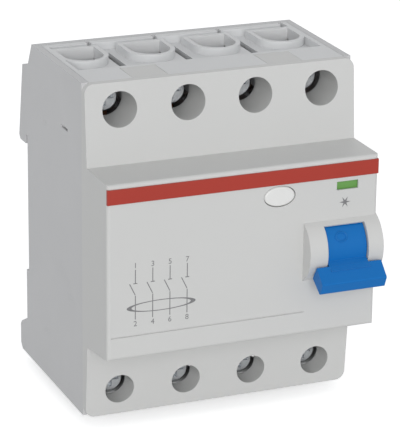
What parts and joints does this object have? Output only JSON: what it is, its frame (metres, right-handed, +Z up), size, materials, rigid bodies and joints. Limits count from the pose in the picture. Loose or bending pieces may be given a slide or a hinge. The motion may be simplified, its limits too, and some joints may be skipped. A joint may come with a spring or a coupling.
{
  "type": "residual current device",
  "caption": "Modular residual current device for rail mounting, with a rocking toggle, a test button, a position flag and screw terminals at the top and bottom.",
  "frame": {"origin": "on the plane that seats on the mounting rail, at the rail's centre line and half way across the case", "axes": "+X to the right along the rail as seen from the front, +Y towards the rail and the panel (the front faces -Y), +Z up"},
  "size_m": [0.07, 0.0732, 0.088],
  "materials": {
    "case_grey": "fine matt moulding",
    "cover_white": "fine matt moulding",
    "shroud_grey": "matt, slightly green",
    "strip_red": "semi-gloss",
    "zinc_steel": "bright zinc",
    "copper": "bare copper",
    "toroid_case": "matt black",
    "winding_wire": "enamelled wire",
    "lead_sleeve": "insulated wire",
    "barrier_plastic": "matt",
    "spring_steel": "bright drawn",
    "toggle_blue": "semi-gloss",
    "carrier_plastic": "matt thermoset",
    "flag_green": "two-colour, green and red",
    "button_white": "semi-gloss",
    "resistor_body": "lacquered",
    "relay_plastic": "matt",
    "clip_white": "matt"
  },
  "bodies": {
    "case": {"rear_base": "case_grey", "front_cover": "cover_white", "terminal_shroud_top": "shroud_grey", "terminal_shroud_bottom": "shroud_grey", "colour_strip": "strip_red", "line_bars": "copper", "load_bars": "copper", "toroid_core": "toroid_case", "secondary_winding": "winding_wire", "primary_leads": "lead_sleeve", "phase_barriers": "barrier_plastic", "mechanism_frame": "zinc_steel", "toggle_pin": "spring_steel", "flag_pin": "spring_steel", "frame_spacer": "spring_steel", "trip_pin": "spring_steel", "opening_spring": "spring_steel", "flexible_braids": "copper", "test_spring": "spring_steel", "test_contact": "copper", "test_resistor": "resistor_body", "relay_case": "relay_plastic", "relay_base": "relay_plastic", "relay_coil": "winding_wire", "din_clip_spring": "spring_steel"},
    "toggle": {"toggle_lever": "toggle_blue"},
    "link": {"drive_link": "spring_steel"},
    "contacts": {"contact_carrier": "carrier_plastic", "moving_contacts": "copper", "contact_springs": "spring_steel"},
    "flag": {"position_flag": "flag_green"},
    "button": {"test_button": "button_white"},
    "trip": {"trip_lever": "carrier_plastic"},
    "plunger": {"relay_plunger": "spring_steel"},
    "rail_clip": {"din_clip": "clip_white"},
    "top_screw_1": {"top_screw_1": "zinc_steel"},
    "top_clamp_1": {"top_clamp_1": "zinc_steel"},
    "top_screw_2": {"top_screw_2": "zinc_steel"},
    "top_clamp_2": {"top_clamp_2": "zinc_steel"},
    "top_screw_3": {"top_screw_3": "zinc_steel"},
    "top_clamp_3": {"top_clamp_3": "zinc_steel"},
    "top_screw_4": {"top_screw_4": "zinc_steel"},
    "top_clamp_4": {"top_clamp_4": "zinc_steel"},
    "bottom_screw_1": {"bottom_screw_1": "zinc_steel"},
    "bottom_clamp_1": {"bottom_clamp_1": "zinc_steel"},
    "bottom_screw_2": {"bottom_screw_2": "zinc_steel"},
    "bottom_clamp_2": {"bottom_clamp_2": "zinc_steel"},
    "bottom_screw_3": {"bottom_screw_3": "zinc_steel"},
    "bottom_clamp_3": {"bottom_clamp_3": "zinc_steel"},
    "bottom_screw_4": {"bottom_screw_4": "zinc_steel"},
    "bottom_clamp_4": {"bottom_clamp_4": "zinc_steel"}
  },
  "joints": [
    {"name": "toggle_turn", "type": "hinge", "parent": "case", "child": "toggle", "pos_m": [0.0256, -0.054, -0.0004], "axis": [-1, 0, 0], "range_deg": [0, 66], "deforming": ["opening_spring", "flexible_braids"]},
    {"name": "link_turn", "type": "hinge", "parent": "toggle", "child": "link", "pos_m": [0.01925, -0.05618, 0.00295], "axis": [-1, 0, 0], "range_deg": [-66, 0]},
    {"name": "contacts_turn", "type": "hinge", "parent": "case", "child": "contacts", "pos_m": [0, -0.028, -0.00518], "axis": [-1, 0, 0], "range_deg": [0, 30]},
    {"name": "flag_turn", "type": "hinge", "parent": "case", "child": "flag", "pos_m": [0.0269, -0.0505, 0.0154], "axis": [-1, 0, 0], "range_deg": [0, 33]},
    {"name": "button_press", "type": "slide", "parent": "case", "child": "button", "axis": [0, 1, 0], "range_m": [0, 0.0016], "stiffness_N_per_m": 1000, "springref_m": -0.0005, "deforming": ["test_spring"]},
    {"name": "trip_lever_turn", "type": "hinge", "parent": "case", "child": "trip", "pos_m": [0.008, -0.044, 0.00342], "axis": [-1, 0, 0], "range_deg": [0, 14]},
    {"name": "plunger_rise", "type": "slide", "parent": "case", "child": "plunger", "axis": [0, 0, 1], "range_m": [0, 0.000855]},
    {"name": "rail_clip_release", "type": "slide", "parent": "case", "child": "rail_clip", "axis": [0, 0, -1], "range_m": [0, 0.004], "stiffness_N_per_m": 2000, "springref_m": -0.001, "deforming": ["din_clip_spring"]},
    {"name": "top_screw_1_turn", "type": "hinge", "parent": "case", "child": "top_screw_1", "pos_m": [-0.02625, -0.036, 0.0358], "axis": [0, 1, 0], "range_deg": [0, 1800]},
    {"name": "top_clamp_1_travel", "type": "slide", "parent": "case", "child": "top_clamp_1", "axis": [0, -1, 0], "range_m": [0, 0.004]},
    {"name": "top_screw_2_turn", "type": "hinge", "parent": "case", "child": "top_screw_2", "pos_m": [-0.00875, -0.036, 0.0358], "axis": [0, 1, 0], "range_deg": [0, 1800]},
    {"name": "top_clamp_2_travel", "type": "slide", "parent": "case", "child": "top_clamp_2", "axis": [0, -1, 0], "range_m": [0, 0.004]},
    {"name": "top_screw_3_turn", "type": "hinge", "parent": "case", "child": "top_screw_3", "pos_m": [0.00875, -0.036, 0.0358], "axis": [0, 1, 0], "range_deg": [0, 1800]},
    {"name": "top_clamp_3_travel", "type": "slide", "parent": "case", "child": "top_clamp_3", "axis": [0, -1, 0], "range_m": [0, 0.004]},
    {"name": "top_screw_4_turn", "type": "hinge", "parent": "case", "child": "top_screw_4", "pos_m": [0.02625, -0.036, 0.0358], "axis": [0, 1, 0], "range_deg": [0, 1800]},
    {"name": "top_clamp_4_travel", "type": "slide", "parent": "case", "child": "top_clamp_4", "axis": [0, -1, 0], "range_m": [0, 0.004]},
    {"name": "bottom_screw_1_turn", "type": "hinge", "parent": "case", "child": "bottom_screw_1", "pos_m": [-0.02625, -0.036, -0.0358], "axis": [0, 1, 0], "range_deg": [0, 1800]},
    {"name": "bottom_clamp_1_travel", "type": "slide", "parent": "case", "child": "bottom_clamp_1", "axis": [0, -1, 0], "range_m": [0, 0.004]},
    {"name": "bottom_screw_2_turn", "type": "hinge", "parent": "case", "child": "bottom_screw_2", "pos_m": [-0.00875, -0.036, -0.0358], "axis": [0, 1, 0], "range_deg": [0, 1800]},
    {"name": "bottom_clamp_2_travel", "type": "slide", "parent": "case", "child": "bottom_clamp_2", "axis": [0, -1, 0], "range_m": [0, 0.004]},
    {"name": "bottom_screw_3_turn", "type": "hinge", "parent": "case", "child": "bottom_screw_3", "pos_m": [0.00875, -0.036, -0.0358], "axis": [0, 1, 0], "range_deg": [0, 1800]},
    {"name": "bottom_clamp_3_travel", "type": "slide", "parent": "case", "child": "bottom_clamp_3", "axis": [0, -1, 0], "range_m": [0, 0.004]},
    {"name": "bottom_screw_4_turn", "type": "hinge", "parent": "case", "child": "bottom_screw_4", "pos_m": [0.02625, -0.036, -0.0358], "axis": [0, 1, 0], "range_deg": [0, 1800]},
    {"name": "bottom_clamp_4_travel", "type": "slide", "parent": "case", "child": "bottom_clamp_4", "axis": [0, -1, 0], "range_m": [0, 0.004]}
  ],
  "couplings": [
    {"joint": "link_turn", "follows": "toggle_turn", "ratio": -1},
    {"joint": "contacts_turn", "follows": "toggle_turn", "ratio": 0.45455},
    {"joint": "flag_turn", "follows": "toggle_turn", "ratio": 0.5},
    {"joint": "trip_lever_turn", "follows": "plunger_rise", "rad_per_m": 285.71},
    {"joint": "top_screw_1_turn", "follows": "top_clamp_1_travel", "rad_per_m": 7854},
    {"joint": "top_screw_2_turn", "follows": "top_clamp_2_travel", "rad_per_m": 7854},
    {"joint": "top_screw_3_turn", "follows": "top_clamp_3_travel", "rad_per_m": 7854},
    {"joint": "top_screw_4_turn", "follows": "top_clamp_4_travel", "rad_per_m": 7854},
    {"joint": "bottom_screw_1_turn", "follows": "bottom_clamp_1_travel", "rad_per_m": 7854},
    {"joint": "bottom_screw_2_turn", "follows": "bottom_clamp_2_travel", "rad_per_m": 7854},
    {"joint": "bottom_screw_3_turn", "follows": "bottom_clamp_3_travel", "rad_per_m": 7854},
    {"joint": "bottom_screw_4_turn", "follows": "bottom_clamp_4_travel", "rad_per_m": 7854}
  ]
}
